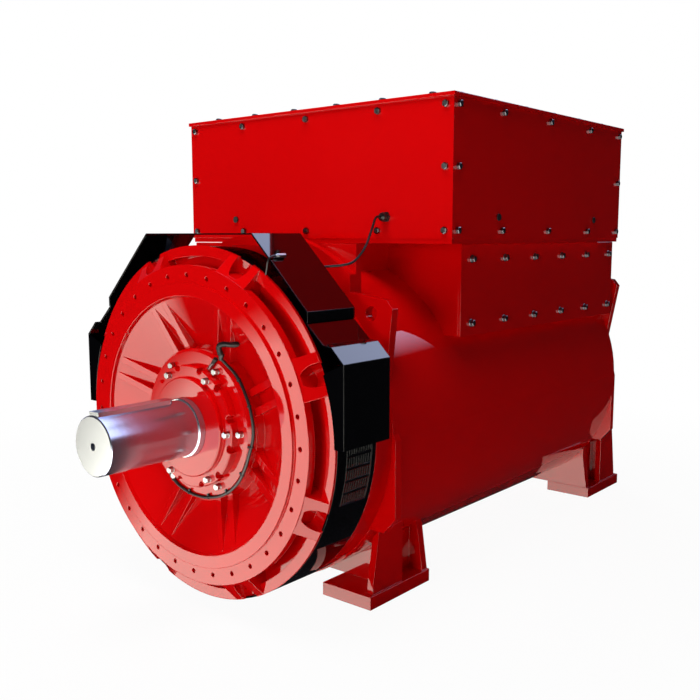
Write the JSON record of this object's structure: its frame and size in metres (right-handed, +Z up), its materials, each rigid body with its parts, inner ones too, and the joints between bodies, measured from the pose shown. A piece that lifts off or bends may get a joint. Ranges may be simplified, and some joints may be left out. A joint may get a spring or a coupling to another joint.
{
  "type": "industrial alternator",
  "caption": "Two-bearing industrial alternator: keyed shaft in a ribbed bracket with a drilled flange, black air-outlet hoods, footed barrel frame and a top terminal box.",
  "frame": {"origin": "on the floor under the middle of the overall box, so z = 0 is the soles of the feet", "axes": "+Z up; -Y towards the free end of the shaft; +X to the side that the picture shows"},
  "size_m": [1.11, 2.379, 1.469],
  "materials": {
    "red_paint": "gloss enamel",
    "black_paint": "gloss enamel",
    "bright_steel": "turned and ground",
    "black_plastic": "satin",
    "plated_fitting": "plated"
  },
  "bodies": {
    "housing": {"bearing_cap": "red_paint", "bearing_cartridge": "red_paint", "drive_end_bracket": "red_paint", "frame_barrel": "red_paint", "front_lifting_plate": "red_paint", "rear_end_plate": "red_paint", "front_right_foot": "red_paint", "front_left_foot": "red_paint", "rear_right_foot": "red_paint", "rear_left_foot": "red_paint", "front_bridge": "red_paint", "saddle_frame": "red_paint", "right_side_cover": "red_paint", "left_side_cover": "red_paint", "box_floor": "red_paint", "box_front_panel": "red_paint", "box_rear_panel": "red_paint", "box_right_panel": "red_paint", "box_left_panel": "red_paint", "box_lid": "red_paint", "rear_bracket": "red_paint", "inlet_housing": "red_paint", "rear_bearing_cover": "red_paint", "outlet_band": "black_paint", "right_outlet_grille": "black_paint", "left_outlet_grille": "black_paint", "upper_hood": "black_paint", "right_hood": "black_paint", "left_hood": "black_paint", "box_gland": "black_plastic", "box_lead": "black_plastic", "hub_conduit": "black_plastic", "hub_lead": "black_plastic", "hood_lead": "black_plastic", "speed_sensor": "plated_fitting", "hood_connector": "plated_fitting"},
    "rotor": {"shaft": "bright_steel", "shaft_key": "bright_steel"}
  },
  "joints": [
    {"name": "rotor_spin", "type": "hinge", "parent": "housing", "child": "rotor", "pos_m": [0, -1.1895, 0.544], "axis": [0, -1, 0], "continuous": true}
  ]
}
